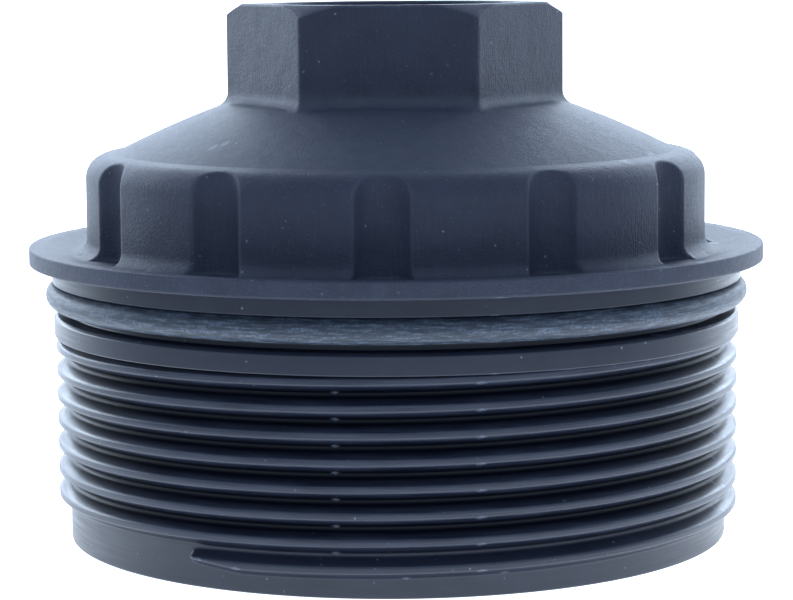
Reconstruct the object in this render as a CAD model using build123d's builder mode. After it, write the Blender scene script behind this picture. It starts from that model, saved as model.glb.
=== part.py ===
"""Oil filter: screw-on hex cap with its seal, a bypass valve and a short pleated cartridge.

Millimetres, +Z up along the axis of the cap.  The cap stands on its rim at z = 0,
one flat of the hex and one grip flute face -Y.
"""
import os
from math import cos, pi, radians, sin, sqrt, tan

from build123d import *

os.makedirs("parts", exist_ok=True)

# ---------------------------------------------------------------- driving sizes
# Cap: thread M84 x 3, 36 mm hex, 76 mm grip ring with 12 flutes
TOTAL_HEIGHT = 65.2
PILOT_R = 40.64
SKIRT_BORE_R = 37.2
THREAD_R = 42.05
THREAD_PITCH = 3.0
THREAD_CREST_HALF = 0.36          # the ridge stands straight on the pilot cylinder
THREAD_FLANK = tan(radians(30.0))
THREAD_FIRST_CREST = 3.54         # crest height on the -Y side
THREAD_START_DEG = -90.0 - 33.5   # where the ridge begins, round from +X
THREAD_TURNS = 7.45
TIP_HEIGHT = 0.45                 # how far over the crest line the tip's underside starts
LAND_R = 42.25
LAND_BOTTOM, LAND_TOP = 25.2, 27.75
LAND_CHAMFER = 0.35
SEAL_FLOOR_R = 40.2
SEAL_GROOVE_TOP = 31.67
SEAL_WIRE_R = 1.5
COLLAR_R, COLLAR_FILLET = 42.4, 0.4
FLANGE_R = 45.15
FLANGE_BOTTOM, FLANGE_TOP = 33.95, 36.0
LIP_R = 43.3                      # inside this the flange is dished
DISH_R, DISH_Z = 39.8, 35.0
GRIP_R = 38.05
GRIP_FOOT_FILLET = 1.75
SHOULDER_R, SHOULDER_Z, SHOULDER_FILLET = 36.5, 46.9, 1.6
DOME_EDGE = (34.3, 47.3)          # radius and height where the cone meets the shoulder
DOME_MIDDLE = (27.65, 50.42)      # the cone is very slightly rounded between its ends
PLATEAU_R, PLATEAU_Z = 21.0, 53.15
RIM_CHAMFER = 0.3
EDGE_BREAK = 0.25
DOME_INSIDE = (21.2, 49.6), (30.5, 45.6), (33.3, 44.5)
BORE_STEP_TOP, BORE_STEP_BOTTOM = 37.0, 34.0
GRIP_BORE_R = 34.2
FLUTES = 12
FLUTE_R = 3.9
FLUTE_DEPTH = 1.8
HEX_AF = 36.0
HEX_CORNER_R = HEX_AF / sqrt(3)
HEX_CHAMFER_R, HEX_CHAMFER_SLOPE = 19.0, 0.73
HEX_FLARE_BOTTOM, HEX_FLARE_TOP = 51.9, 54.3
HEX_FLARE_ANGLE = 40.0            # from the vertical, stands in for the moulded fillet
HEX_RECESS_R = 15.0
HEX_RECESS_FLOOR = 53.0
DOME_UNDERSIDE = 50.0
HUB_R, HUB_BORE_R = 15.5, 12.5
HUB_BOTTOM = 41.9
HUB_SHOULDER = 45.7
CIRCLIP_GROOVE_R = 13.2
CIRCLIP_BOTTOM, CIRCLIP_TOP = 42.95, 43.95
CIRCLIP_IN_R, CIRCLIP_GAP_DEG, CIRCLIP_EYE_R = 11.6, 34.0, 0.85
SHOULDER_BORE_R, SHOULDER_THICK = 11.2, 1.0
HUB_WINDOWS, WINDOW_WIDE, WINDOW_DEEP = 6, 6.0, 8.0
RIBS, RIB_THICK, RIB_FOOT = 6, 2.0, 43.5

# Bypass valve, hanging in the hub
CAGE_FLANGE_R = 12.4
CAGE_NECK_R = 11.0
CAGE_SPIGOT_R = 10.4
CAGE_BORE_R = 9.0
CAGE_BOTTOM = 22.6
SEAT_R = 6.0
SEAT_Z = 38.6
CAGE_SHOULDER_Z, CAGE_FLANGE_Z = 39.0, 44.05
CAGE_MOUTH_R = 9.6
CAGE_PORTS, PORT_WIDE, PORT_BOTTOM, PORT_TALL = 4, 8.5, 26.8, 7.4
RETAINER_BOTTOM, RETAINER_BOSS_BOTTOM = 24.2, 23.0
POPPET_R = 7.8
POPPET_TOP, POPPET_NOSE_TOP, POPPET_NOSE_R = 38.0, 39.6, 4.6
STEM_END = 21.5
STEM_R = 2.0
SPRING_R, SPRING_WIRE_R, SPRING_COILS = 5.6, 0.45, 5
SPRING_FOOT, SPRING_HEAD = 25.2, 36.9

# Cartridge
DISC_R = 32.0
DISC_THICK = 0.9
BOTTOM_DISC = 0.8
TOP_DISC = 36.7
GLUE_THICK = 1.4
TUBE_BORE_R, TUBE_R = 13.0, 13.8
MEDIA_IN_R, MEDIA_OUT_R = 14.5, 30.2
MEDIA_THICK = 0.5
PLEATS = 54
STANDPIPE_BORE_R = 10.0
DISC_LIP_R = 31.3
BOTTOM_LIP_TOP, TOP_LIP_BOTTOM = 5.0, 33.4
GLUE_R = 31.25
TUBE_HOLE_R, HOLE_ROWS, HOLES_ROUND = 1.35, 6, 10
FIRST_HOLE_Z, HOLE_ROW_STEP = 6.7, 5.0
BEAD_OUT, BEAD_TALL = 0.7, 1.4
BEAD_LOWER, BEAD_MIDDLE, BEAD_UPPER = 10.4, 18.5, 26.6


# ---------------------------------------------------------------- helpers
def turned(points, mode=Mode.ADD, arc=360.0, start=0.0):
    """Revolve a closed (radius, height) outline about Z, from `start` round by `arc` degrees."""
    plane = Plane(origin=(0, 0, 0), x_dir=(cos(radians(start)), sin(radians(start)), 0),
                  z_dir=(sin(radians(start)), -cos(radians(start)), 0))
    with BuildSketch(plane) as outline:
        with BuildLine():
            Polyline(*points, close=True)
        make_face()
    revolve(outline.sketch, axis=Axis.Z, revolution_arc=arc, mode=mode)


def ring(r_in, r_out, z0, z1, mode=Mode.ADD, **kw):
    """A plain ring of rectangular section."""
    turned([(r_in, z0), (r_out, z0), (r_out, z1), (r_in, z1)], mode=mode, **kw)


# ---------------------------------------------------------------- cap shell
def thread_ridge():
    """The raised thread on the pilot cylinder, from its tip up into the land."""
    depth = THREAD_R - PILOT_R
    sunk = 0.4
    foot = THREAD_CREST_HALF + (depth + sunk) * THREAD_FLANK
    edge = 0.2                    # crest corners taken off by this much
    half = THREAD_CREST_HALF
    profile = [(PILOT_R - sunk, -foot), (THREAD_R - edge, -half - edge * THREAD_FLANK),
               (THREAD_R, -half + 0.1), (THREAD_R, half - 0.1),
               (THREAD_R - edge, half + edge * THREAD_FLANK), (PILOT_R - sunk, foot)]
    with BuildPart() as swept:
        with BuildLine() as path:
            Helix(pitch=THREAD_PITCH, height=THREAD_PITCH * THREAD_TURNS, radius=PILOT_R)
        with BuildSketch(Plane(origin=(0, 0, 0), x_dir=(1, 0, 0), z_dir=(0, -1, 0))):
            with BuildLine():
                Polyline(*profile, close=True)
            make_face()
        sweep(path=path.edge(), is_frenet=True)
    return swept.part.moved(Location((0, 0, tip_height()), (0, 0, THREAD_START_DEG)))


def tip_height():
    """Height of the crest where the ridge begins."""
    return THREAD_FIRST_CREST + THREAD_PITCH * (THREAD_START_DEG + 90.0) / 360.0


def ridge_tip_trim():
    """Takes the first few millimetres of the ridge down to a pointed tip."""
    length, drop = 6.6, 1.6
    with BuildPart() as trim:
        with BuildSketch(Plane(origin=(0, 0, tip_height()), x_dir=(0, 1, 0), z_dir=(1, 0, 0))):
            with BuildLine():
                Polyline((-3, TIP_HEIGHT + 0.1), (0, TIP_HEIGHT), (length, TIP_HEIGHT - drop - 0.4),
                         (length, -4), (-3, -4), close=True)
            make_face()
        extrude(amount=46)
        Cylinder(PILOT_R, 20, mode=Mode.SUBTRACT)
    return trim.part.moved(Location((0, 0, 0), (0, 0, THREAD_START_DEG)))


with BuildPart() as cap_shell:
    # threaded skirt
    skirt_top = LAND_BOTTOM + 0.5
    turned([(SKIRT_BORE_R, 0), (PILOT_R - RIM_CHAMFER, 0), (PILOT_R, RIM_CHAMFER),
            (PILOT_R, skirt_top), (SKIRT_BORE_R, skirt_top)])
    add(thread_ridge() - ridge_tip_trim())

    # land, seal groove, collar, flange, grip ring and dome
    with BuildSketch(Plane.XZ):
        with BuildLine():
            Polyline((SKIRT_BORE_R, LAND_BOTTOM), (LAND_R - EDGE_BREAK, LAND_BOTTOM),
                     (LAND_R, LAND_BOTTOM + EDGE_BREAK), (LAND_R, LAND_TOP - LAND_CHAMFER),
                     (LAND_R - LAND_CHAMFER, LAND_TOP), (SEAL_FLOOR_R, LAND_TOP),
                     (SEAL_FLOOR_R, SEAL_GROOVE_TOP), (COLLAR_R - EDGE_BREAK, SEAL_GROOVE_TOP),
                     (COLLAR_R, SEAL_GROOVE_TOP + EDGE_BREAK), (COLLAR_R, FLANGE_BOTTOM - COLLAR_FILLET),
                     (COLLAR_R + COLLAR_FILLET, FLANGE_BOTTOM), (FLANGE_R - EDGE_BREAK, FLANGE_BOTTOM),
                     (FLANGE_R, FLANGE_BOTTOM + EDGE_BREAK), (FLANGE_R, FLANGE_TOP - EDGE_BREAK),
                     (FLANGE_R - EDGE_BREAK, FLANGE_TOP), (LIP_R, FLANGE_TOP), (DISH_R, DISH_Z))
            RadiusArc((DISH_R, DISH_Z), (GRIP_R, DISH_Z + GRIP_FOOT_FILLET), GRIP_FOOT_FILLET)
            Line((GRIP_R, DISH_Z + GRIP_FOOT_FILLET), (GRIP_R, SHOULDER_Z - SHOULDER_FILLET))
            ThreePointArc((GRIP_R, SHOULDER_Z - SHOULDER_FILLET),
                          (GRIP_R - 0.3 * SHOULDER_FILLET, SHOULDER_Z - 0.3 * SHOULDER_FILLET),
                          (SHOULDER_R, SHOULDER_Z))
            Line((SHOULDER_R, SHOULDER_Z), DOME_EDGE)
            ThreePointArc(DOME_EDGE, DOME_MIDDLE, (PLATEAU_R, PLATEAU_Z))
            Polyline((PLATEAU_R, PLATEAU_Z), (PLATEAU_R / 2, PLATEAU_Z), (PLATEAU_R / 2, DOME_UNDERSIDE),
                     *DOME_INSIDE, (GRIP_BORE_R, 43.2), (GRIP_BORE_R, BORE_STEP_TOP),
                     (SKIRT_BORE_R, BORE_STEP_BOTTOM), (SKIRT_BORE_R, LAND_BOTTOM))
        make_face()
    revolve(axis=Axis.Z)

    # hex head, chamfered on its top corners, standing on the dome with a flared foot
    with BuildSketch(Plane.XY.offset(DOME_UNDERSIDE)):
        RegularPolygon(HEX_CORNER_R, 6, rotation=0)
    extrude(amount=TOTAL_HEIGHT - DOME_UNDERSIDE)
    flare_height = HEX_FLARE_TOP - HEX_FLARE_BOTTOM
    flare_spread = flare_height * tan(radians(HEX_FLARE_ANGLE)) * 2 / sqrt(3)
    with BuildSketch(Plane.XY.offset(HEX_FLARE_BOTTOM)):
        RegularPolygon(HEX_CORNER_R + flare_spread, 6, rotation=0)
    extrude(amount=flare_height, taper=HEX_FLARE_ANGLE)
    chamfer_out = 4.0             # the chamfer's cutter reaches past the corners
    turned([(HEX_CHAMFER_R, TOTAL_HEIGHT), (HEX_CHAMFER_R + chamfer_out, TOTAL_HEIGHT),
            (HEX_CHAMFER_R + chamfer_out, TOTAL_HEIGHT - chamfer_out * HEX_CHAMFER_SLOPE)],
           mode=Mode.SUBTRACT)
    with Locations((0, 0, HEX_RECESS_FLOOR)):
        Cylinder(HEX_RECESS_R, 20, align=(Align.CENTER, Align.CENTER, Align.MIN),
                 mode=Mode.SUBTRACT)
    turned([(HEX_RECESS_R - 0.1, TOTAL_HEIGHT - 0.5), (HEX_RECESS_R + 0.5, TOTAL_HEIGHT + 0.1),
            (HEX_RECESS_R - 0.1, TOTAL_HEIGHT + 0.1)], mode=Mode.SUBTRACT)

    # grip flutes, cut down to the dished floor
    with BuildSketch(Plane.XY.offset(DISH_Z)):
        with PolarLocations(GRIP_R - FLUTE_DEPTH + FLUTE_R, FLUTES, start_angle=-90):
            Circle(FLUTE_R)
        Circle(DISH_R, mode=Mode.INTERSECT)
    extrude(amount=14, mode=Mode.SUBTRACT)

    # hub inside the dome, with flow windows above the valve and stiffening ribs
    ring(HUB_BORE_R, HUB_R, HUB_BOTTOM, DOME_UNDERSIDE + 0.5)
    ring(SHOULDER_BORE_R, HUB_BORE_R + 0.5, HUB_SHOULDER, HUB_SHOULDER + SHOULDER_THICK)
    ring(HUB_BORE_R - 0.5, CIRCLIP_GROOVE_R, CIRCLIP_BOTTOM, CIRCLIP_TOP, mode=Mode.SUBTRACT)
    with BuildSketch(Plane.XY.offset(HUB_SHOULDER + SHOULDER_THICK)):
        with PolarLocations((HUB_R + HUB_BORE_R) / 2, HUB_WINDOWS, start_angle=180.0 / HUB_WINDOWS):
            Rectangle(WINDOW_DEEP, WINDOW_WIDE)
    extrude(amount=DOME_UNDERSIDE - HUB_SHOULDER - SHOULDER_THICK, mode=Mode.SUBTRACT)
    with BuildSketch(Plane.XZ) as rib:
        with BuildLine():
            Polyline((HUB_R - 1, DOME_UNDERSIDE + 0.3), (21.2, 49.9), (30.5, 45.9), (33.3, 44.8),
                     (34.4, 43.4), (34.4, 41.0), (30.0, 42.6), (HUB_R - 1, RIB_FOOT), close=True)
        make_face()
    one_rib = extrude(rib.sketch, amount=RIB_THICK / 2, both=True, mode=Mode.PRIVATE)
    with PolarLocations(0, RIBS):
        add(one_rib)
cap_shell.part.label = "cap_shell"
export_step(cap_shell.part, "parts/cap_shell.step")

# ---------------------------------------------------------------- O-ring under the collar
with BuildPart() as cap_o_ring:
    with BuildSketch(Plane.XZ):
        with Locations((SEAL_FLOOR_R + SEAL_WIRE_R + 0.01, SEAL_GROOVE_TOP - SEAL_WIRE_R - 0.01)):
            Circle(SEAL_WIRE_R)
    revolve(axis=Axis.Z)
cap_o_ring.part.label = "cap_o_ring"
export_step(cap_o_ring.part, "parts/cap_o_ring.step")

# ---------------------------------------------------------------- circlip that holds the valve in the hub
with BuildPart() as hub_circlip:
    ring(CIRCLIP_IN_R, CIRCLIP_GROOVE_R - 0.1, CIRCLIP_BOTTOM + 0.05, CIRCLIP_TOP - 0.05,
         arc=360 - CIRCLIP_GAP_DEG, start=90 + CIRCLIP_GAP_DEG / 2)
    with BuildSketch(Plane.XY.offset(CIRCLIP_BOTTOM + 0.05)):
        with Locations((12.0 * cos(radians(111)), 12.0 * sin(radians(111))),
                       (12.0 * cos(radians(69)), 12.0 * sin(radians(69)))):
            Circle(CIRCLIP_EYE_R)
    extrude(amount=CIRCLIP_TOP - CIRCLIP_BOTTOM - 0.1)
hub_circlip.part.label = "hub_circlip"
export_step(hub_circlip.part, "parts/hub_circlip.step")

# ---------------------------------------------------------------- valve cage
with BuildPart() as valve_cage:
    turned([(SEAT_R, SEAT_Z), (CAGE_BORE_R, SEAT_Z), (CAGE_BORE_R, CAGE_BOTTOM),
            (CAGE_SPIGOT_R - 0.5, CAGE_BOTTOM), (CAGE_SPIGOT_R, CAGE_BOTTOM + 0.8),
            (CAGE_SPIGOT_R, CAGE_SHOULDER_Z), (CAGE_NECK_R, CAGE_SHOULDER_Z),
            (CAGE_NECK_R, CAGE_FLANGE_Z), (CAGE_FLANGE_R, CAGE_FLANGE_Z),
            (CAGE_FLANGE_R, HUB_SHOULDER - 0.1), (CAGE_MOUTH_R, HUB_SHOULDER - 0.1),
            (CAGE_MOUTH_R, 41.2), (SEAT_R, 39.9)])
    # groove that takes the spring retainer
    ring(CAGE_BORE_R - 0.5, CAGE_BORE_R + 0.5, RETAINER_BOTTOM - 0.1, SPRING_FOOT + 0.1, mode=Mode.SUBTRACT)
    # flow windows in the wall below the seat
    with BuildSketch(Plane.XY.offset(PORT_BOTTOM)):
        with PolarLocations(CAGE_SPIGOT_R, CAGE_PORTS, start_angle=45):
            Rectangle(5, PORT_WIDE)
    extrude(amount=PORT_TALL, mode=Mode.SUBTRACT)
valve_cage.part.label = "valve_cage"
export_step(valve_cage.part, "parts/valve_cage.step")

# ---------------------------------------------------------------- spring retainer, snapped into the cage
with BuildPart() as spring_retainer:
    ring(STEM_R + 0.08, CAGE_BORE_R + 0.4, RETAINER_BOTTOM, SPRING_FOOT)
    ring(STEM_R + 0.08, 3.4, RETAINER_BOSS_BOTTOM, RETAINER_BOTTOM + 0.4)
    with BuildSketch(Plane.XY.offset(24.0)):
        with PolarLocations(7.6, 8):
            Circle(1.15)
    extrude(amount=2, mode=Mode.SUBTRACT)
spring_retainer.part.label = "spring_retainer"
export_step(spring_retainer.part, "parts/spring_retainer.step")

# ---------------------------------------------------------------- bypass spring
with BuildPart() as bypass_spring:
    active = SPRING_HEAD - SPRING_FOOT - 2 * SPRING_WIRE_R - 0.04
    with BuildLine() as coil:
        Helix(pitch=active / SPRING_COILS, height=active, radius=SPRING_R,
              center=(0, 0, SPRING_FOOT + SPRING_WIRE_R + 0.02))
    with BuildSketch(Plane(origin=coil.edge() @ 0, z_dir=coil.edge() % 0)):
        Circle(SPRING_WIRE_R)
    sweep(path=coil.edge(), is_frenet=True)
    # closed end coils
    for z in (SPRING_FOOT + SPRING_WIRE_R + 0.02, SPRING_HEAD - SPRING_WIRE_R - 0.02):
        with BuildSketch(Plane.XZ):
            with Locations((SPRING_R, z)):
                Circle(SPRING_WIRE_R)
        revolve(axis=Axis.Z)
bypass_spring.part.label = "bypass_spring"
export_step(bypass_spring.part, "parts/bypass_spring.step")

# ---------------------------------------------------------------- bypass poppet and its seal
with BuildPart() as bypass_poppet:
    turned([(0, STEM_END), (STEM_R - 0.4, STEM_END), (STEM_R, STEM_END + 0.4),
            (STEM_R, SPRING_HEAD - 1.3), (STEM_R + 1.0, SPRING_HEAD), (POPPET_R, SPRING_HEAD),
            (POPPET_R, POPPET_TOP), (POPPET_NOSE_R, POPPET_TOP), (POPPET_NOSE_R, POPPET_NOSE_TOP - 0.4),
            (POPPET_NOSE_R - 0.4, POPPET_NOSE_TOP), (0, POPPET_NOSE_TOP)])
bypass_poppet.part.label = "bypass_poppet"
export_step(bypass_poppet.part, "parts/bypass_poppet.step")

with BuildPart() as poppet_seal:
    ring(POPPET_NOSE_R + 0.05, POPPET_R - 0.2, POPPET_TOP, SEAT_Z - 0.01)
poppet_seal.part.label = "poppet_seal"
export_step(poppet_seal.part, "parts/poppet_seal.step")

# ---------------------------------------------------------------- cartridge: end discs
bottom_disc_top = BOTTOM_DISC + DISC_THICK
with BuildPart() as bottom_end_disc:
    turned([(11.2, BOTTOM_DISC), (31.0, BOTTOM_DISC), (DISC_LIP_R, 0), (DISC_R - 0.2, 0), (DISC_R, 0.2),
            (DISC_R, BOTTOM_LIP_TOP), (DISC_LIP_R, BOTTOM_LIP_TOP), (DISC_LIP_R, bottom_disc_top),
            (11.2, bottom_disc_top)])
bottom_end_disc.part.label = "bottom_end_disc"
export_step(bottom_end_disc.part, "parts/bottom_end_disc.step")

top_disc_top = TOP_DISC + DISC_THICK
with BuildPart() as top_end_disc:
    turned([(11.65, TOP_DISC), (DISC_LIP_R, TOP_DISC), (DISC_LIP_R, TOP_LIP_BOTTOM), (DISC_R, TOP_LIP_BOTTOM),
            (DISC_R, top_disc_top - 0.4), (DISC_R - 0.4, top_disc_top), (11.65, top_disc_top)])
    # raised beads that stiffen the disc
    with BuildSketch(Plane.XZ):
        with Locations((22.5, top_disc_top)):
            Circle(0.7)
    revolve(axis=Axis.Z)
    ring(21.0, 24.0, TOP_DISC - 1.0, TOP_DISC, mode=Mode.SUBTRACT)
top_end_disc.part.label = "top_end_disc"
export_step(top_end_disc.part, "parts/top_end_disc.step")

# ---------------------------------------------------------------- cartridge: rubber grommets
with BuildPart() as bottom_grommet:
    turned([(STANDPIPE_BORE_R + 0.3, 0), (13.2, 0), (13.4, 0.2), (13.4, BOTTOM_DISC - 0.05),
            (11.15, BOTTOM_DISC - 0.05), (11.15, bottom_disc_top + 0.05),
            (12.8, bottom_disc_top + 0.05), (12.6, 2.9), (STANDPIPE_BORE_R + 0.3, 2.9),
            (STANDPIPE_BORE_R, 2.6), (STANDPIPE_BORE_R, 0.3)])
bottom_grommet.part.label = "bottom_grommet"
export_step(bottom_grommet.part, "parts/bottom_grommet.step")

with BuildPart() as top_grommet:
    turned([(10.75, 35.5), (12.6, 35.5), (12.8, TOP_DISC - 0.05), (11.55, TOP_DISC - 0.05),
            (11.55, top_disc_top + 0.05), (14.2, top_disc_top + 0.05), (14.0, 38.4), (13.6, 38.6),
            (10.75, 38.6), (10.45, 38.3), (10.45, 35.8)])
top_grommet.part.label = "top_grommet"
export_step(top_grommet.part, "parts/top_grommet.step")

# ---------------------------------------------------------------- cartridge: adhesive beds
with BuildPart() as bottom_adhesive:
    ring(TUBE_R + 0.1, GLUE_R, bottom_disc_top, bottom_disc_top + GLUE_THICK)
bottom_adhesive.part.label = "bottom_adhesive"
export_step(bottom_adhesive.part, "parts/bottom_adhesive.step")

with BuildPart() as top_adhesive:
    ring(TUBE_R + 0.1, GLUE_R, TOP_DISC - GLUE_THICK, TOP_DISC)
top_adhesive.part.label = "top_adhesive"
export_step(top_adhesive.part, "parts/top_adhesive.step")

# ---------------------------------------------------------------- cartridge: perforated centre tube
with BuildPart() as center_tube:
    ring(TUBE_BORE_R, TUBE_R, bottom_disc_top, TOP_DISC)
    with BuildSketch(Plane.XY) as one_hole:
        Circle(TUBE_HOLE_R)
    hole = extrude(one_hole.sketch, amount=4, mode=Mode.PRIVATE)
    for row in range(HOLE_ROWS):
        height = FIRST_HOLE_Z + row * HOLE_ROW_STEP
        for k in range(HOLES_ROUND):
            angle = 360.0 / HOLES_ROUND * (k + 0.5 * (row % 2))
            add(hole.moved(Location((0, 0, height)) * Location((0, 0, 0), (0, 0, angle))
                           * Location((TUBE_BORE_R - 1.5, 0, 0), (0, 90, 0))), mode=Mode.SUBTRACT)
center_tube.part.label = "center_tube"
export_step(center_tube.part, "parts/center_tube.step")


# ---------------------------------------------------------------- cartridge: pleated paper and its seam clip
def pleat_outline(shift):
    """Zigzag round the axis with flat folds, moved outwards from the paper's middle by `shift`."""
    step = 2 * pi / PLEATS
    half_in, half_out = 0.42 / MEDIA_IN_R, 0.62 / MEDIA_OUT_R
    middle = []
    for k in range(PLEATS):
        a = k * step
        middle += [(MEDIA_OUT_R - 0.3, a - half_out), (MEDIA_OUT_R - 0.3, a + half_out),
                   (MEDIA_IN_R + 0.3, a + step / 2 - half_in),
                   (MEDIA_IN_R + 0.3, a + step / 2 + half_in)]
    flat = [Vector(r * cos(a), r * sin(a)) for r, a in middle]
    moved = []
    for k, here in enumerate(flat):
        before, after = flat[k - 1], flat[(k + 1) % len(flat)]
        u, v = (here - before).normalized(), (after - here).normalized()
        n1, n2 = Vector(u.Y, -u.X), Vector(v.Y, -v.X)
        bisector = (n1 + n2).normalized()
        point = here + bisector * (shift / bisector.dot(n1))
        moved.append((point.X, point.Y))
    return moved


media_bottom, media_top = bottom_disc_top + GLUE_THICK, TOP_DISC - GLUE_THICK
with BuildPart() as pleated_media:
    with BuildSketch(Plane.XY.offset(media_bottom)):
        with BuildLine():
            Polyline(*pleat_outline(MEDIA_THICK / 2), close=True)
        make_face()
        with BuildLine():
            Polyline(*pleat_outline(-MEDIA_THICK / 2), close=True)
        make_face(mode=Mode.SUBTRACT)
    extrude(amount=media_top - media_bottom)
pleated_media.part.label = "pleated_media"
export_step(pleated_media.part, "parts/pleated_media.step")

with BuildPart() as media_seam_clip:
    with BuildSketch(Plane.XY.offset(media_bottom + 0.3)):
        with Locations((29.5, 0)):
            Rectangle(3.0, 2.6)
            with Locations((-0.45, 0)):
                Rectangle(2.9, 2.0, mode=Mode.SUBTRACT)
    extrude(amount=media_top - media_bottom - 0.6)
media_seam_clip.part.label = "media_seam_clip"
export_step(media_seam_clip.part, "parts/media_seam_clip.step")

# ---------------------------------------------------------------- cartridge: glue beads that space the pleats
def glue_bead(height):
    """A bead round the pleat tips, open over the seam clip."""
    ring(MEDIA_OUT_R + 0.02, MEDIA_OUT_R + BEAD_OUT, height, height + BEAD_TALL, arc=352, start=4)


with BuildPart() as pleat_bead_lower:
    glue_bead(BEAD_LOWER)
pleat_bead_lower.part.label = "pleat_bead_lower"
export_step(pleat_bead_lower.part, "parts/pleat_bead_lower.step")

with BuildPart() as pleat_bead_middle:
    glue_bead(BEAD_MIDDLE)
pleat_bead_middle.part.label = "pleat_bead_middle"
export_step(pleat_bead_middle.part, "parts/pleat_bead_middle.step")

with BuildPart() as pleat_bead_upper:
    glue_bead(BEAD_UPPER)
pleat_bead_upper.part.label = "pleat_bead_upper"
export_step(pleat_bead_upper.part, "parts/pleat_bead_upper.step")
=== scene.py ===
import math

import bmesh
import bpy
import numpy as np
from mathutils import Matrix, Vector


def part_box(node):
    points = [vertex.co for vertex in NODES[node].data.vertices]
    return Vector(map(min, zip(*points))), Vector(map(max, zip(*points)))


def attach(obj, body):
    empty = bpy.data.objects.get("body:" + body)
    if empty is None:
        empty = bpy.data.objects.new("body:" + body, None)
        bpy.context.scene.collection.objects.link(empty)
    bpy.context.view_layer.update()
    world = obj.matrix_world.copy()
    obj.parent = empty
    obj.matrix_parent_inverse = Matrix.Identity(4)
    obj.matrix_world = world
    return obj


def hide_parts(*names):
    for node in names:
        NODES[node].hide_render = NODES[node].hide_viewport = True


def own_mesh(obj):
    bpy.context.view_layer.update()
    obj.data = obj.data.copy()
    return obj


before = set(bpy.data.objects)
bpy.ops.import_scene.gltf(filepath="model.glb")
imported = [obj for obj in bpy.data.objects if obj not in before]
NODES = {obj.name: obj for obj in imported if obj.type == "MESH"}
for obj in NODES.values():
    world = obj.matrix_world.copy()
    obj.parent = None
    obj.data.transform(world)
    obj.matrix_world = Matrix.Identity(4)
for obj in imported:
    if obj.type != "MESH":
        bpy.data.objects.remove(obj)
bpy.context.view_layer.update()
MM = 0.001


# ------------------------------------------------------------------ sizes, in millimetres
def node_size(name):
    low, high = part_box(name)
    return [v / MM for v in low], [v / MM for v in high]


shell_high = node_size("cap_shell")[1]
TOP = shell_high[2] - 0.005
FLANGE_R = shell_high[0] - 0.01
PILOT_R, SKIRT_BORE_R = 40.64, 37.2
THREAD_R, THREAD_PITCH = 42.05, 3.0
THREAD_ROOT_R = 40.5
CREST_HALF = 0.36
THREAD_FIRST_CREST = 3.54
THREAD_START = -123.5                 # degrees round from +X, where the ridge begins
ROOT_RUN = 5.0                        # how far past the tip the gap takes to reach its full depth
TIP_LIFT, TIP_RUN = 0.85, 7.5         # the tip's underside starts this high, over this length
THREAD_LOW, THREAD_HIGH = 0.8, 25.2   # heights between which the threaded grid runs
FLANK = math.tan(math.radians(30))
LAND_R, LAND_TOP = 42.25, 27.75
SEAL_FLOOR_R, SEAL_GROOVE_TOP = 40.2, 31.67
COLLAR_R = 42.4
FLANGE_BOTTOM, FLANGE_TOP = 33.95, 36.0
LIP_R, LEDGE_Z = 43.4, 34.75          # the flange is dished inside its lip, down to the ring's foot
GRIP_R, GRIP_BORE_R = 38.05, 34.2
FOOT_FILLET = 1.75
FLUTES, FLUTE_R, FLUTE_DEPTH = 12, 3.9, 1.8
SHOULDER_Z, SHOULDER_FILLET = 46.75, 2.9
SHOULDER_EDGE = (34.3, 47.3, 0.9)     # radius, height and rounding where the shoulder meets the cone
CONE_MID_R, CONE_MID_Z = 25.86, 51.15
CONE_SLOPE, CONE_CURVE = 0.41, 0.0055
DOME_EDGE_R, PLATEAU_Z = 33.6, 53.15
HEX_AF, HEX_FOOT_FILLET = 36.0, 1.35
HEX_RECESS_R, HEX_RECESS_FLOOR = 15.0, 53.0
HEX_CHAMFER_R, HEX_CHAMFER_SLOPE = 19.0, 0.73
HUB_R, HUB_BORE_R, HUB_BOTTOM, HUB_SHOULDER = 15.5, 12.5, 41.9, 45.7
SHOULDER_BORE_R, SHOULDER_THICK = 11.2, 1.0
WINDOW_WIDE, RIB_THICK = 6.0, 2.0
DOME_UNDERSIDE = 50.0
CIRCLIP_GROOVE_R, CIRCLIP_BOTTOM, CIRCLIP_TOP = 13.2, 42.95, 43.95
SPRING_R, SPRING_WIRE_R, SPRING_COILS = 5.6, 0.45, 5
SPRING_FOOT, SPRING_HEAD = 25.2, 36.9
PLEATS, MEDIA_IN_R, MEDIA_OUT_R, MEDIA_THICK = 54, 14.5, 30.2, 0.5
MEDIA_BOTTOM, MEDIA_TOP = 3.1, 35.3
COLUMNS = 720                         # every half degree


# ------------------------------------------------------------------ small geometry helpers
def rounded(points, steps=4):
    """A polyline through (radius, height, corner radius) points, with each corner rounded."""
    out = []
    last = len(points) - 1
    for i, (r, z, fillet) in enumerate(points):
        here = np.array([r, z])
        if fillet <= 0 or i in (0, last):
            out.append((r, z))
            continue
        before = np.array(points[i - 1][:2]) - here
        after = np.array(points[i + 1][:2]) - here
        u, v = before / np.linalg.norm(before), after / np.linalg.norm(after)
        half = math.acos(max(-1.0, min(1.0, float(u @ v)))) / 2
        reach = fillet / math.tan(half)
        centre = here + (u + v) / np.linalg.norm(u + v) * fillet / math.sin(half)
        a, b = here + u * reach - centre, here + v * reach - centre
        turn = math.pi - 2 * half
        for k in range(steps + 1):
            w = k / steps
            spoke = (a * math.sin((1 - w) * turn) + b * math.sin(w * turn)) / math.sin(turn)
            out.append(tuple(centre + spoke))
    return out


def split_long(points, longest):
    """The same polyline with no run longer than `longest`."""
    out = [points[0]]
    for a, b in zip(points, points[1:]):
        n = max(1, math.ceil(math.dist(a, b) / longest))
        out += [(a[0] + (b[0] - a[0]) * k / n, a[1] + (b[1] - a[1]) * k / n) for k in range(1, n + 1)]
    return out


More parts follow.
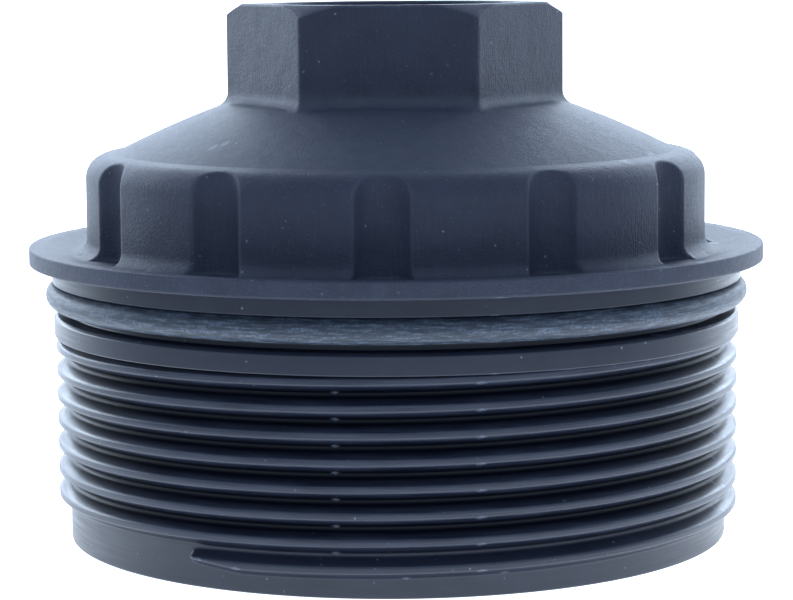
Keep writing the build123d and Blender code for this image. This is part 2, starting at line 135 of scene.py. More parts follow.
def soft_min(a, b, width):
    h = np.clip(width - np.abs(a - b), 0, None) / width
    return np.minimum(a, b) - h * h * width / 4


def soft_max(a, b, width):
    return -soft_min(-a, -b, width)


def smooth_step(x):
    x = np.clip(x, 0, 1)
    return x * x * (3 - 2 * x)


def new_object(name, verts, faces, smooth=True):
    mesh = bpy.data.meshes.new(name)
    mesh.from_pydata([tuple(v) for v in verts], [], faces)
    mesh.validate()
    mesh.polygons.foreach_set("use_smooth", [smooth] * len(mesh.polygons))
    obj = bpy.data.objects.new(name, mesh)
    bpy.context.scene.collection.objects.link(obj)
    return obj


def tidy_mesh(obj, distance=2e-6):
    """Merge doubled points, drop what collapsed, and turn the faces outwards."""
    bm = bmesh.new()
    bm.from_mesh(obj.data)
    bmesh.ops.remove_doubles(bm, verts=bm.verts, dist=distance)
    bmesh.ops.dissolve_degenerate(bm, edges=bm.edges, dist=distance)
    bmesh.ops.recalc_face_normals(bm, faces=bm.faces)
    bm.to_mesh(obj.data)
    bm.free()


def flat_shading_aid(obj):
    """Weighs the corner normals by face size, so that flat faces stay flat beside small roundings."""
    aid = obj.modifiers.new("weighted_normals", "WEIGHTED_NORMAL")
    aid.mode = "FACE_AREA"
    aid.weight = 80


# ------------------------------------------------------------------ cap shell
THETA = np.radians(THREAD_START + 360.0 * np.arange(COLUMNS) / COLUMNS)


def thread_radius(degrees_on, z):
    """Outer radius of the skirt, `degrees_on` round from the start of the thread, at height z."""
    start_z = THREAD_FIRST_CREST + THREAD_PITCH * (THREAD_START + 90) / 360
    first = start_z + THREAD_PITCH * degrees_on / 360
    turn = np.maximum(np.round((z - first) / THREAD_PITCH), 0)
    above = z - first - turn * THREAD_PITCH
    flank = THREAD_R - (np.abs(above) - CREST_HALF) / FLANK
    along = np.radians(degrees_on) * THREAD_R            # how far past the tip, on the first turn
    root = PILOT_R - (PILOT_R - THREAD_ROOT_R) * smooth_step(along / ROOT_RUN)
    in_first_gap = ((turn == 0) & (above > 0)) | ((turn == 1) & (above < 0))
    floor = np.where(in_first_gap, root, THREAD_ROOT_R)
    below_first = (turn == 0) & (above <= 0)
    floor = np.where(below_first, PILOT_R, floor)
    # the underside of the first ridge starts high at the tip and comes down to its full width
    lift = TIP_LIFT * np.clip(1 - along / TIP_RUN, 0, 1)
    under = THREAD_R + (above + CREST_HALF - lift) / FLANK
    flank = np.where(turn == 0, np.minimum(flank, under), flank)
    flank = np.where(turn == 0, PILOT_R - 0.5 + (flank - PILOT_R + 0.5) * smooth_step(along / 1.4), flank)
    top = soft_min(flank, np.full_like(flank, THREAD_R), 0.22)
    return soft_max(top, floor, 0.3)


def thread_rows():
    """Rows that climb with the helix and are held level at both ends of the threaded length."""
    per_turn = 26
    count = int(math.ceil((THREAD_HIGH - THREAD_LOW + THREAD_PITCH) / THREAD_PITCH * per_turn)) + 2
    on = 360.0 * np.arange(COLUMNS) / COLUMNS
    rows = []
    for j in range(count):
        z = THREAD_LOW - THREAD_PITCH + THREAD_PITCH * (j / per_turn + on / 360)
        z = np.clip(z, THREAD_LOW, THREAD_HIGH)
        rows.append((thread_radius(on, z), z))
    return rows, per_turn


def flute_wall():
    """How far out the material goes at each angle, where a flute cuts it."""
    step = 2 * math.pi / FLUTES
    off = (THETA + math.pi / 2 + step / 2) % step - step / 2
    centre = GRIP_R - FLUTE_DEPTH + FLUTE_R
    inside = np.clip(FLUTE_R ** 2 - (centre * np.sin(off)) ** 2, 0, None)
    return centre * np.cos(off) - np.sqrt(inside)


def hex_radius():
    """Radius of the hex at each angle, with its corners rounded a little."""
    flats = [np.cos(THETA - math.radians(30 + 60 * k)) for k in range(6)]
    radius = np.full(COLUMNS, 99.0)
    for facing in flats:
        reach = np.where(facing > 0.3, HEX_AF / 2 / np.maximum(facing, 0.3), 99.0)
        radius = soft_min(radius, reach, 0.5)
    return radius


def level(points):
    """Rows of plain turned surface."""
    return [(np.full(COLUMNS, r), np.full(COLUMNS, z)) for r, z in points]


def grip_rows():
    """Flange edge, grip ring with its flutes, and the shoulder over it."""
    outline = rounded([(LIP_R + 0.6, FLANGE_TOP, 0), (LIP_R, FLANGE_TOP, 1.2),
                       (GRIP_R, LEDGE_Z, FOOT_FILLET), (GRIP_R, SHOULDER_Z, SHOULDER_FILLET), SHOULDER_EDGE,
                       (DOME_EDGE_R, float(cone_height(DOME_EDGE_R)), 0)], steps=14)
    outline = split_long(outline, 0.35)
    wall = flute_wall()
    foot = 0.7
    floor = LEDGE_Z + 0.25
    rows = []
    for r, z in outline:
        rise = min(max(z - floor, 0.0), foot)
        toe = foot - math.sqrt(foot ** 2 - (foot - rise) ** 2)
        if r < GRIP_R + FOOT_FILLET:
            rows.append((soft_min(np.full(COLUMNS, r), wall + toe, 0.30), np.full(COLUMNS, z)))
        else:
            rows.append((np.full(COLUMNS, r), np.full(COLUMNS, z)))
    return rows


def cone_height(r):
    """Height of the slightly rounded cone between the ring's shoulder and the hex."""
    on = r - CONE_MID_R
    return CONE_MID_Z - CONE_SLOPE * on - CONE_CURVE * on * on


def dome_height(r):
    """The cone with the level plateau the hex stands on."""
    return soft_min(cone_height(r), np.full_like(r, PLATEAU_Z), 0.5)


def hex_rows():
    """Cone, fillet up into the hex, its sides, corner chamfers and top."""
    side = hex_radius()
    rows = []
    for k in range(1, 27):
        r = DOME_EDGE_R + (side + HEX_FOOT_FILLET - DOME_EDGE_R) * k / 26
        rows.append((r, dome_height(r)))
    for k in range(1, 10):
        turn = math.pi / 2 * k / 9
        r = side + HEX_FOOT_FILLET * (1 - math.sin(turn))
        rows.append((r, dome_height(r) + HEX_FOOT_FILLET * (1 - math.cos(turn))))
    foot_z = rows[-1][1]
    drop = np.clip(side - HEX_CHAMFER_R, 0, None) * HEX_CHAMFER_SLOPE
    edge = 0.22
    side_top = TOP - drop - edge
    for share in (0.02, 0.2, 0.4, 0.6, 0.8, 0.96, 0.99):
        rows.append((side, foot_z + (side_top - foot_z) * share))
    inner = np.minimum(side, HEX_CHAMFER_R) - edge
    rows.append((side, side_top))
    rows.append((side - edge * 0.3, side_top + edge * 0.7))
    rows.append(((side + inner) / 2 - edge * 0.3, (side_top + TOP + edge * 0.25) / 2))
    rows.append((inner, np.full(COLUMNS, TOP)))
    return rows


def cap_mesh():
    inner = rounded([(0.0, 50.0, 0), (21.2, 49.6, 2.0), (30.5, 45.6, 3.0), (GRIP_BORE_R, 43.8, 2.0),
                     (GRIP_BORE_R, 37.0, 1.0), (SKIRT_BORE_R, 34.0, 1.0), (SKIRT_BORE_R, 0.4, 0),
                     (37.6, 0.0, 0.1), (PILOT_R, 0.0, 0.28), (PILOT_R, THREAD_LOW, 0)])
    above = rounded([(THREAD_R - 0.1, THREAD_HIGH, 0), (LAND_R, THREAD_HIGH, 0.18),
                     (LAND_R, LAND_TOP - 0.35, 0.2), (LAND_R - 0.45, LAND_TOP, 0.2),
                     (SEAL_FLOOR_R, LAND_TOP, 0.25), (SEAL_FLOOR_R, SEAL_GROOVE_TOP, 0.25),
                     (COLLAR_R, SEAL_GROOVE_TOP, 0.22), (COLLAR_R, FLANGE_BOTTOM, 0.35),
                     (FLANGE_R, FLANGE_BOTTOM, 0.16), (FLANGE_R, FLANGE_TOP, 0.2),
                     (LIP_R + 0.7, FLANGE_TOP, 0)])
    recess = rounded([(HEX_RECESS_R + 0.6, TOP, 0), (HEX_RECESS_R, TOP, 0.3),
                      (HEX_RECESS_R, HEX_RECESS_FLOOR, 1.0), (0.0, HEX_RECESS_FLOOR, 0)])
    rows = level(split_long(inner[1:], 3.0))
    thread_first = len(rows)
    threads, per_turn = thread_rows()
    rows += threads
    thread_last = len(rows) - 1
    rows += level(split_long(above, 2.0)) + grip_rows() + hex_rows() + level(split_long(recess[:-1], 3.0))

    verts = []
    for r, z in rows:
        verts += list(zip(r * np.cos(THETA) * MM, r * np.sin(THETA) * MM, z * MM))
    faces = []
    for j in range(len(rows) - 1):
        a, b = j * COLUMNS, (j + 1) * COLUMNS
        faces += [(a + c, a + c + 1, b + c + 1, b + c) for c in range(COLUMNS - 1)]
        end_a, end_b = a, b
        if thread_first <= j < thread_last:      # one turn on, a row has climbed by one pitch
            end_a = min(j + per_turn, thread_last) * COLUMNS
            end_b = min(j + 1 + per_turn, thread_last) * COLUMNS
        faces.append((a + COLUMNS - 1, end_a, end_b, b + COLUMNS - 1))
    for row, height in ((0, inner[0][1]), (len(rows) - 1, recess[-1][1])):
        pole = len(verts)
        verts.append((0.0, 0.0, height * MM))
        ring = row * COLUMNS
        faces += [(ring + c, ring + (c + 1) % COLUMNS, pole) for c in range(COLUMNS)]
    return verts, faces


def make_cap():
    verts, faces = cap_mesh()
    cap = new_object("cap_body", verts, faces)
    tidy_mesh(cap)
    flat_shading_aid(cap)
    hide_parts("cap_shell")
    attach(cap, "cap")
    return cap


# ------------------------------------------------------------------ pieces inside
class Solid:
    """Closed lumps gathered into one mesh."""

    def __init__(self):
        self.verts, self.faces = [], []

    def turned(self, outline, start=0.0, arc=360.0, steps=120):
        """Revolve a closed (radius, height) outline; less than a full turn gets end faces."""
        whole = arc >= 360
        count = steps if whole else steps + 1
        base, n = len(self.verts), len(outline)
        for k in range(count):
            a = math.radians(start + arc * k / steps)
            self.verts += [(r * math.cos(a) * MM, r * math.sin(a) * MM, z * MM) for r, z in outline]
        for k in range(steps):
            here, there = base + k * n, base + (k + 1) % count * n
            self.faces += [(here + i, here + (i + 1) % n, there + (i + 1) % n, there + i) for i in range(n)]
        if not whole:
            last = base + steps * n
            self.faces += [tuple(range(base, base + n)), tuple(range(last, last + n))]

    def slab(self, outline, thick, angle):
        """A flat plate standing on the axis plane at `angle`, outlined in (radius, height)."""
        base, n = len(self.verts), len(outline)
        c, s = math.cos(math.radians(angle)), math.sin(math.radians(angle))
        for side in (-thick / 2, thick / 2):
            self.verts += [((r * c - side * s) * MM, (r * s + side * c) * MM, z * MM) for r, z in outline]
        for i in range(n):
            after = base + (i + 1) % n
            self.faces.append((base + i, after, after + n, base + n + i))
        self.faces += [tuple(range(base, base + n)), tuple(range(base + n, base + 2 * n))]

    def finish(self, name, bevel=0.12):
        obj = new_object(name, self.verts, self.faces)
        bm = bmesh.new()
        bm.from_mesh(obj.data)
        bmesh.ops.recalc_face_normals(bm, faces=bm.faces)
        bm.to_mesh(obj.data)
        bm.free()
        soften(obj, bevel)
        return obj


def soften(obj, width):
    """Small rounded edges where faces meet at more than 35 degrees."""
    if width:
        aid = obj.modifiers.new("edges", "BEVEL")
        aid.width, aid.segments = width * MM, 2
        aid.limit_method, aid.angle_limit = "ANGLE", math.radians(35)
        aid.harden_normals = True
    return obj


def make_hub():
    """The cap's valve hub with its windows, shoulder and ribs."""
    hub = Solid()
    window_top = HUB_SHOULDER + SHOULDER_THICK
    hub.turned([(HUB_BORE_R, HUB_BOTTOM), (HUB_R, HUB_BOTTOM), (HUB_R, window_top),
                (SHOULDER_BORE_R, window_top), (SHOULDER_BORE_R, HUB_SHOULDER), (HUB_BORE_R, HUB_SHOULDER),
                (HUB_BORE_R, CIRCLIP_TOP), (CIRCLIP_GROOVE_R, CIRCLIP_TOP),
                (CIRCLIP_GROOVE_R, CIRCLIP_BOTTOM), (HUB_BORE_R, CIRCLIP_BOTTOM)])
    half = 30 - math.degrees(math.asin(WINDOW_WIDE / (HUB_R + HUB_BORE_R)))
    post_foot, post_head = window_top - 0.3, DOME_UNDERSIDE + 0.5
    post = [(HUB_BORE_R, post_foot), (HUB_R, post_foot), (HUB_R, post_head), (HUB_BORE_R, post_head)]
    rib = [(HUB_R - 1, 50.3), (21.2, 49.9), (30.5, 45.9), (33.3, 44.8), (34.4, 43.4), (34.4, 41.0),
           (30.0, 42.6), (HUB_R - 1, 43.5)]
    for k in range(6):
        hub.turned(post, start=60 * k - half, arc=2 * half, steps=14)
        hub.slab(rib, RIB_THICK, 60 * k)
    return hub.finish("cap_hub")


def make_spring():
    """Round wire wound with closed end coils."""
    turns, around, per_turn = SPRING_COILS + 2, 12, 48
    count = turns * per_turn
    low, high = SPRING_FOOT + SPRING_WIRE_R + 0.02, SPRING_HEAD - SPRING_WIRE_R - 0.02
    t = np.arange(count + 1) / per_turn
    climb = np.clip((t - 0.9) / (turns - 1.8), 0, 1)
    climb = climb + 0.02 * np.sin(2 * np.pi * climb)
    angle = 2 * np.pi * t
    verts, faces = [], []
    for a, z in zip(angle, low + (high - low) * np.clip(climb, 0, 1)):
        for k in range(around):
            b = 2 * math.pi * k / around
            r = SPRING_R + SPRING_WIRE_R * math.cos(b)
            up = z + SPRING_WIRE_R * math.sin(b)
            verts.append((r * math.cos(a) * MM, r * math.sin(a) * MM, up * MM))
    for j in range(count):
        for k in range(around):
            a, b = j * around + k, j * around + (k + 1) % around
            faces.append((a, b, b + around, a + around))
    faces += [tuple(range(around)), tuple(range(count * around, (count + 1) * around))]
    spring = new_object("spring_wire", verts, faces)
    tidy_mesh(spring)
    return spring


def make_media():
    """Pleated paper with rounded folds, a little uneven from pleat to pleat."""
    per_pleat = 20
    count = PLEATS * per_pleat
    on = np.arange(count) / per_pleat
    sharp = 0.985
    swing = np.arcsin(sharp * np.cos(2 * np.pi * on)) / math.asin(sharp)
    keep = MEDIA_THICK / 2 + 0.05
    low, high = MEDIA_IN_R + keep, MEDIA_OUT_R - keep - 0.15
    lean = 0.012 * np.sin(on * 2.4) + 0.008 * np.sin(on * 5.3 + 1.0)
    r = low + (high - low) * (swing + 1) / 2
    a = 2 * np.pi * on / PLEATS + lean * (r - low) / (high - low)
    middle = np.stack([r * np.cos(a), r * np.sin(a)], axis=1)
    along = np.roll(middle, -1, axis=0) - np.roll(middle, 1, axis=0)
    along /= np.linalg.norm(along, axis=1)[:, None]
    out = np.stack([along[:, 1], -along[:, 0]], axis=1) * MEDIA_THICK / 2
    outline = [(middle + out, MEDIA_BOTTOM), (middle + out, MEDIA_TOP),
               (middle - out, MEDIA_TOP), (middle - out, MEDIA_BOTTOM)]
    verts, faces = [], []
    for points, z in outline:
        verts += [(x * MM, y * MM, z * MM) for x, y in points]
    for j in range(4):
        here, there = j * count, (j + 1) % 4 * count
        for k in range(count):
            after = (k + 1) % count
            faces.append((here + k, here + after, there + after, there + k))
    media = new_object("paper_pleats", verts, faces)
    tidy_mesh(media)
    flat_shading_aid(media)
    return media


# ------------------------------------------------------------------ materials
class Nodes:
    """A short way to write a node tree."""

    def __init__(self, name):
        self.material = bpy.data.materials.new(name)
        self.material.use_nodes = True
        self.tree = self.material.node_tree
        self.shader = self.tree.nodes["Principled BSDF"]

    def add(self, kind, **settings):
        node = self.tree.nodes.new(kind)
        for key, value in settings.items():
            setattr(node, key, value)
        return node

    def link(self, out, into):
        self.tree.links.new(out, into)

    def place(self, scale):
        """Object position stretched by `scale`, one number or three, in repeats per millimetre."""
        where = self.add("ShaderNodeTexCoord")
        mapping = self.add("ShaderNodeMapping")
        spread = (scale,) * 3 if isinstance(scale, (int, float)) else scale
        mapping.inputs["Scale"].default_value = [s / MM for s in spread]
        self.link(where.outputs["Object"], mapping.inputs["Vector"])
        return mapping.outputs["Vector"]

    def noise(self, scale, detail=3.0, roughness=0.55):
        node = self.add("ShaderNodeTexNoise")
        node.inputs["Scale"].default_value = 1.0
        node.inputs["Detail"].default_value = detail
        node.inputs["Roughness"].default_value = roughness
        self.link(self.place(scale), node.inputs["Vector"])
        return node.outputs["Fac"]

    def specks(self, scale, size):
        """Small dots: 1 inside each, falling to 0 at `size` of a cell."""
        node = self.add("ShaderNodeTexVoronoi")
        node.inputs["Scale"].default_value = 1.0
        self.link(self.place(scale), node.inputs["Vector"])
        return self.remap(node.outputs["Distance"], size * 0.4, size, 1.0, 0.0)

    def remap(self, value, a, b, c, d):
        node = self.add("ShaderNodeMapRange")
        for key, number in (("From Min", a), ("From Max", b), ("To Min", c), ("To Max", d)):
            node.inputs[key].default_value = number
        self.link(value, node.inputs["Value"])
        return node.outputs["Result"]

    def math(self, operation, a, b):
        node = self.add("ShaderNodeMath", operation=operation)
        for slot, value in ((0, a), (1, b)):
            if isinstance(value, (int, float)):
                node.inputs[slot].default_value = value
            else:
                self.link(value, node.inputs[slot])
        return node.outputs["Value"]

    def length(self, sides):
        """Length of the level diagonal of two sides, X and Y."""
        squares = [self.times(sides[axis], sides[axis]) for axis in ("X", "Y")]
        return self.math("SQRT", self.math("ADD", *squares), 0.0)

    def times(self, a, b):
        return self.math("MULTIPLY", a, b)

    def between(self, height, low, high):
        """1 between two heights; each of `low` and `high` is the pair over which it fades."""
        return self.times(self.remap(height, *low, 0.0, 1.0), self.remap(height, *high, 1.0, 0.0))

    def mix(self, share, a, b):
        """Colour a to colour b by share."""
        node = self.add("ShaderNodeMix", data_type="RGBA")
        self.link(share, node.inputs["Factor"])
        for slot, value in (("A", a), ("B", b)):
            socket = next(s for s in node.inputs if s.name == slot and s.type == "RGBA")
            if isinstance(value, tuple):
                socket.default_value = value + (1.0,)
            else:
                self.link(value, socket)
        return next(s for s in node.outputs if s.type == "RGBA")

    def bump(self, height, depth_mm, strength=1.0, after=None):
        node = self.add("ShaderNodeBump")
        node.inputs["Strength"].default_value = strength
        node.inputs["Distance"].default_value = depth_mm * MM
        self.link(height, node.inputs["Height"])
        if after is not None:
            self.link(after, node.inputs["Normal"])
        return node.outputs["Normal"]

    def split(self, vector):
        node = self.add("ShaderNodeSeparateXYZ")
        self.link(vector, node.inputs[0])
        return node.outputs

    def set(self, **sockets):
        for name, value in sockets.items():
            socket = self.shader.inputs[name.replace("_", " ")]
            if isinstance(value, (int, float)):
                socket.default_value = value
            elif isinstance(value, tuple):
                socket.default_value = value + (1.0,) * (4 - len(value))
            else:
                self.link(value, socket)
        return self.material


def cap_nylon():
    """Blue-black glass-filled nylon: matt and speckled above the flange, smoother on the thread."""
    n = Nodes("cap_nylon")
    height = n.split(n.place(1.0))["Z"]
    upper = n.remap(height, FLANGE_BOTTOM - 0.3, FLANGE_BOTTOM + 0.3, 0.0, 1.0)
    grain = n.noise(3.2, 4.0, 0.7)
    fine = n.noise(9.0, 2.0, 0.6)
    clouds = n.noise(0.16, 3.0, 0.6)
    streaks = n.noise((4.5, 4.5, 0.35), 3.0, 0.6)
    turning = n.noise((0.10, 0.10, 3.0), 4.0, 0.65)
    specks = n.specks(1.5, 0.16)
    tone = n.remap(clouds, 0.3, 0.7, 0.0, 1.0)
    base = n.mix(tone, (0.0125, 0.0180, 0.040), (0.020, 0.027, 0.056))
    base = n.mix(upper, n.mix(tone, (0.0065, 0.0095, 0.022), (0.011, 0.015, 0.032)), base)
    # painted light: the up-facing cone and the foot of the hex are coloured paler, mottled, as if lit from
    # above
    on_cone = n.between(height, (46.4, 47.6), (54.4, 55.4))
    painted_cone_light = n.times(on_cone, n.remap(n.noise(0.5, 4.0, 0.65), 0.3, 0.7, 0.4, 1.0))
    base = n.mix(painted_cone_light, base, (0.040, 0.048, 0.074))
    lit = n.times(n.remap(streaks, 0.52, 0.78, 0.0, 0.45), upper)
    base = n.mix(lit, base, (0.040, 0.050, 0.080))
    dots = n.times(specks, n.remap(fine, 0.45, 0.6, 0.0, 0.6))
    base = n.mix(n.times(dots, upper), base, (0.16, 0.18, 0.23))
    # pale flecks: speckle in the nylon, and painted glints on the thread crests
    specks_and_painted_glints = n.times(n.specks(0.7, 0.12), n.remap(n.noise(0.35, 2.0, 0.5), 0.5, 0.62, 0.0, 0.8))
    base = n.mix(specks_and_painted_glints, base, (0.20, 0.23, 0.29))
    # painted shade: the thread's grooves below the crests are coloured near-black, standing in for the
    # shade between the ridges
    radius = n.length(n.split(n.place(1.0)))
    crest = n.remap(radius, 40.75, THREAD_R - 0.15, 0.0, 1.0)
    on_thread = n.between(height, (4.6, 6.2), (25.0, 25.3))
    painted_groove_shade = n.times(on_thread, n.math("SUBTRACT", 1.0, crest))
    base = n.mix(painted_groove_shade, base, (0.002, 0.003, 0.007))
    # painted highlight: the thread crests are coloured paler, streaked along the turning noise
    streaked_painted_crest_highlight = n.times(n.times(on_thread, crest), n.remap(turning, 0.4, 0.65, 0.0, 0.8))
    base = n.mix(streaked_painted_crest_highlight, base, (0.030, 0.038, 0.062))
    # painted highlight: paler colour along the sharp edges of the flutes, the flange and the hex, where the
    # edges catch the light
    edge = n.add("ShaderNodeNewGeometry")
    painted_edge_highlight = n.times(n.remap(edge.outputs["Pointiness"], 0.52, 0.60, 0.0, 1.0),
                  n.remap(grain, 0.35, 0.6, 0.25, 0.9))
    base = n.mix(painted_edge_highlight, base, (0.10, 0.12, 0.165))
    rough_upper = n.remap(grain, 0.3, 0.7, 0.50, 0.64)
    rough_lower = n.remap(turning, 0.3, 0.7, 0.30, 0.46)
    blend = n.add("ShaderNodeMix", data_type="FLOAT")
    n.link(upper, blend.inputs[0])
    n.link(rough_lower, blend.inputs[2])
    n.link(rough_upper, blend.inputs[3])
    bump = n.bump(n.times(grain, upper), 0.12, 0.9)
    bump = n.bump(n.times(streaks, upper), 0.07, 0.6, bump)
    bump = n.bump(n.times(clouds, upper), 0.5, 0.5, bump)
    bump = n.bump(turning, 0.012, 0.3, bump)
    # the painted shade mask also lowers the specular in the thread's grooves
    shine = n.remap(painted_groove_shade, 0.0, 1.0, 0.5, 0.12)
    return n.set(Base_Color=base, Roughness=blend.outputs[0], Normal=bump, Specular_IOR_Level=shine)


def seal_rubber():
    """Blue-grey rubber with a dusty, drawn-out mottling."""
    n = Nodes("seal_rubber")
    drawn = n.noise((0.35, 0.35, 3.5), 5.0, 0.7)
    dust = n.noise(2.6, 4.0, 0.7)
    mottled = n.times(n.remap(drawn, 0.44, 0.60, 0.0, 1.0), n.remap(dust, 0.40, 0.55, 0.2, 1.0))
    base = n.mix(mottled, (0.020, 0.028, 0.044), (0.095, 0.125, 0.175))
    rough = n.remap(dust, 0.3, 0.7, 0.38, 0.62)
    bump = n.bump(dust, 0.03, 0.35)
    return n.set(Base_Color=base, Roughness=rough, Normal=bump)


def plain_plastic(name, dark, light, rough):
    n = Nodes(name)
    clouds = n.noise(0.5, 4.0, 0.6)
    grain = n.noise(5.0, 3.0, 0.6)
    base = n.mix(n.remap(clouds, 0.3, 0.7, 0.0, 1.0), dark, light)
    bump = n.bump(grain, 0.02, 0.4)
    patchy = n.remap(grain, 0.3, 0.7, rough - 0.06, rough + 0.06)
    return n.set(Base_Color=base, Roughness=patchy, Normal=bump)


def sheet_metal(name, colour, rough, drawn=(0.4, 0.4, 6.0)):
    n = Nodes(name)
    lines = n.noise(drawn, 4.0, 0.6)
    stains = n.noise(0.25, 4.0, 0.65)
    darker = tuple(c * 0.72 for c in colour)
    base = n.mix(n.remap(stains, 0.35, 0.7, 0.0, 1.0), colour, darker)
    bump = n.bump(lines, 0.008, 0.5)
    return n.set(Base_Color=base, Metallic=1.0,
                 Roughness=n.remap(lines, 0.3, 0.7, rough - 0.08, rough + 0.1), Normal=bump)


def filter_paper():
    n = Nodes("filter_paper")
    fibres = n.noise((2.2, 2.2, 0.8), 6.0, 0.75)
    blotches = n.noise(0.22, 3.0, 0.6)
    base = n.mix(n.remap(blotches, 0.3, 0.7, 0.0, 1.0), (0.62, 0.44, 0.20), (0.72, 0.55, 0.29))
    base = n.mix(n.remap(fibres, 0.5, 0.8, 0.0, 0.5), base, (0.82, 0.70, 0.46))
    return n.set(Base_Color=base, Roughness=0.85, Normal=n.bump(fibres, 0.05, 0.6))


def adhesive():
    n = Nodes("adhesive")
    blobs = n.noise(0.8, 3.0, 0.5)
    base = n.mix(n.remap(blobs, 0.3, 0.7, 0.0, 1.0), (0.11, 0.055, 0.025), (0.17, 0.09, 0.045))
    return n.set(Base_Color=base, Roughness=0.35, Normal=n.bump(blobs, 0.1, 0.3))


def dress(node, material):
    obj = NODES[node]
    obj.data.materials.clear()
    obj.data.materials.append(material)


def finish_edges():
    """The inner pieces keep their CAD shape and get small rounded edges."""
    for name in ("valve_cage", "spring_retainer", "bypass_poppet", "poppet_seal", "bottom_end_disc",
                 "top_end_disc", "bottom_grommet", "top_grommet", "hub_circlip", "media_seam_clip",
                 "pleat_bead_lower", "pleat_bead_middle", "pleat_bead_upper"):
        soften(NODES[name], 0.08)


def main_materials():
    rubber = seal_rubber()
    steel = sheet_metal("tin_plate", (0.62, 0.62, 0.60), 0.32)
    wire = sheet_metal("spring_wire", (0.55, 0.55, 0.57), 0.25, (3.0, 3.0, 3.0))
    black = plain_plastic("valve_nylon", (0.018, 0.018, 0.020), (0.026, 0.026, 0.028), 0.45)
    natural = plain_plastic("poppet_nylon", (0.46, 0.43, 0.34), (0.54, 0.51, 0.42), 0.42)
    beads = plain_plastic("hot_melt", (0.62, 0.56, 0.38), (0.70, 0.64, 0.46), 0.30)
    glue = adhesive()
    paper = filter_paper()
    for names, material in (
            (("cap_o_ring", "top_grommet", "bottom_grommet", "poppet_seal"), rubber),
            (("top_end_disc", "bottom_end_disc", "center_tube", "media_seam_clip"), steel),
            (("hub_circlip", "bypass_spring"), wire),
            (("valve_cage", "spring_retainer"), black),
            (("bypass_poppet",), natural),
            (("pleat_bead_lower", "pleat_bead_middle", "pleat_bead_upper"), beads),
            (("top_adhesive", "bottom_adhesive"), glue),
            (("pleated_media",), paper)):
        for name in names:
            dress(name, material)
    return cap_nylon()


# ------------------------------------------------------------------ studio
def area_light(name, where, size, power, colour=(1.0, 1.0, 1.0), aim=(0.0, 0.0, 0.03)):
    lamp = bpy.data.lights.new(name, "AREA")
    lamp.shape = "RECTANGLE"
    lamp.size, lamp.size_y = size
    lamp.energy = power
    lamp.color = colour
    obj = bpy.data.objects.new(name, lamp)
    obj.location = where
    obj.rotation_euler = (Vector(aim) - Vector(where)).to_track_quat("-Z", "Y").to_euler()
    bpy.context.scene.collection.objects.link(obj)
    return obj


def studio():
    scene = bpy.context.scene
    scene.view_settings.view_transform = "Standard"
    world = bpy.data.worlds.new("studio")
    world.use_nodes = True
    world.node_tree.nodes["Background"].inputs["Color"].default_value = (0.62, 0.78, 1.0, 1.0)
    world.node_tree.nodes["Background"].inputs["Strength"].default_value = 0.90
    scene.world = world

    reach, wall_y = 6, 5.5        # metres: half the floor's width, and how far back the wall stands
    corners = [(-reach, -reach, 0), (reach, -reach, 0), (reach, reach, 0), (-reach, reach, 0)]
    floor = new_object("floor", corners, [(0, 1, 2, 3)], False)
    floor.data.materials.append(paper_sheet())

    corners = [(-reach, wall_y, 0), (reach, wall_y, 0), (reach, wall_y, reach), (-reach, wall_y, reach)]
    wall = new_object("backdrop", corners, [(0, 1, 2, 3)], False)
    glow = Nodes("white_backdrop")
    glow.set(Base_Color=(0.8, 0.8, 0.8), Roughness=0.9,
             Emission_Color=(0.68, 0.79, 1.0), Emission_Strength=1.35)
    wall.data.materials.append(glow.material)

    cool = (0.72, 0.85, 1.0)
    area_light("left_soft", (-0.60, 0.40, 0.22), (0.4, 0.5), 2.9, cool)
    area_light("right_soft", (0.60, 0.45, 0.22), (0.4, 0.5), 1.4, cool)
    area_light("back_soft", (0.0, 0.9, 0.42), (1.6, 0.35), 12.0, cool)


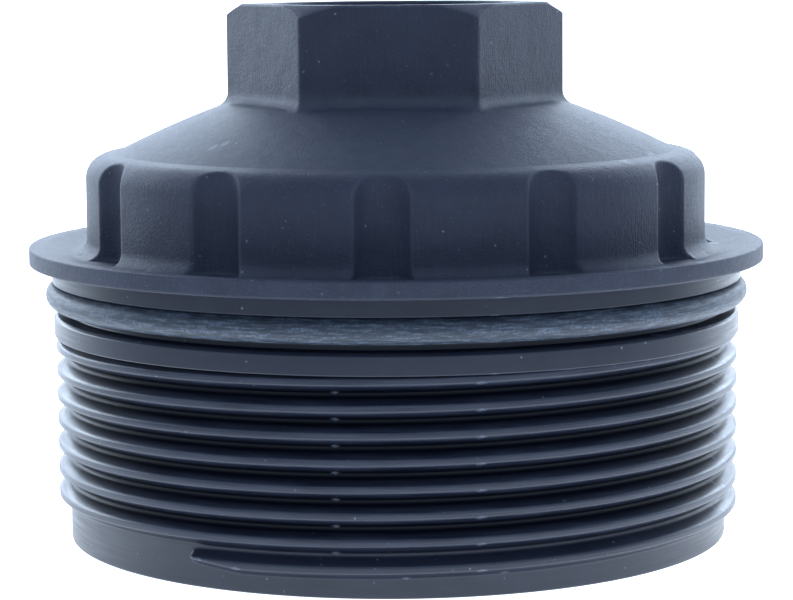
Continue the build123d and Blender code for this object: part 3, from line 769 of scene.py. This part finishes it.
def paper_sheet():
    """Pale floor with a painted pool of light: it glows brightest under and behind the part, dimmer out to
    the front and sides, more to the right, and is coloured darker where the glow fades.
    """
    n = Nodes("pale_floor")
    where = n.split(n.place(1.0))
    behind = n.times(n.math("MAXIMUM", where["Y"], 0.0), 0.6)
    aside = n.math("MAXIMUM", n.math("SUBTRACT", n.math("ABSOLUTE", where["X"], 0.0), behind), 0.0)
    ahead = n.math("MINIMUM", where["Y"], 0.0)
    away = n.length({"X": aside, "Y": ahead})
    glow = n.remap(away, 70.0, 190.0, 1.0, 0.12)
    rightward = n.remap(where["X"], -20.0, 60.0, 1.35, 1.9)
    n.set(Roughness=0.9, Emission_Color=(0.84, 0.92, 1.0),
          Emission_Strength=n.times(glow, rightward))
    return n.set(Base_Color=n.mix(glow, (0.12, 0.12, 0.12), (0.9, 0.9, 0.9)))


LENS = 124.95                         # millimetres, on a 36 mm wide sensor


def camera():
    """A long lens, a little above the part and to its right, turned slightly in its own plane."""
    distance, height = 0.33946, 0.0706
    turn, pitch, roll = math.radians(2.3), math.radians(7.078), math.radians(-0.457)
    place = Vector((distance * math.sin(turn), -distance * math.cos(turn), height))
    level_forward = Vector((-math.sin(turn), math.cos(turn), 0.0))
    forward = level_forward * math.cos(pitch) - Vector((0, 0, 1)) * math.sin(pitch)
    right = Vector((math.cos(turn), math.sin(turn), 0.0))
    up = right.cross(forward)
    right, up = (right * math.cos(roll) + up * math.sin(roll), up * math.cos(roll) - right * math.sin(roll))
    cam = bpy.data.objects.new("camera", bpy.data.cameras.new("camera"))
    cam.data.sensor_width = 36.0
    cam.data.lens = LENS
    cam.data.clip_start, cam.data.clip_end = 0.02, 40.0
    basis = Matrix((right, up, -forward)).transposed().to_4x4()
    cam.matrix_world = Matrix.Translation(place) @ basis
    bpy.context.scene.collection.objects.link(cam)
    bpy.context.scene.camera = cam


camera()
studio()
cap_material = main_materials()
make_cap().data.materials.append(cap_material)

finish_edges()

hub = make_hub()
hub.data.materials.append(cap_material)
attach(hub, "cap")

media = make_media()
media.data.materials.append(NODES["pleated_media"].data.materials[0])
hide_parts("pleated_media")
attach(media, "cartridge")

spring = make_spring()
spring.data.materials.append(NODES["bypass_spring"].data.materials[0])
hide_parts("bypass_spring")
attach(spring, "valve_carrier")
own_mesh(spring)
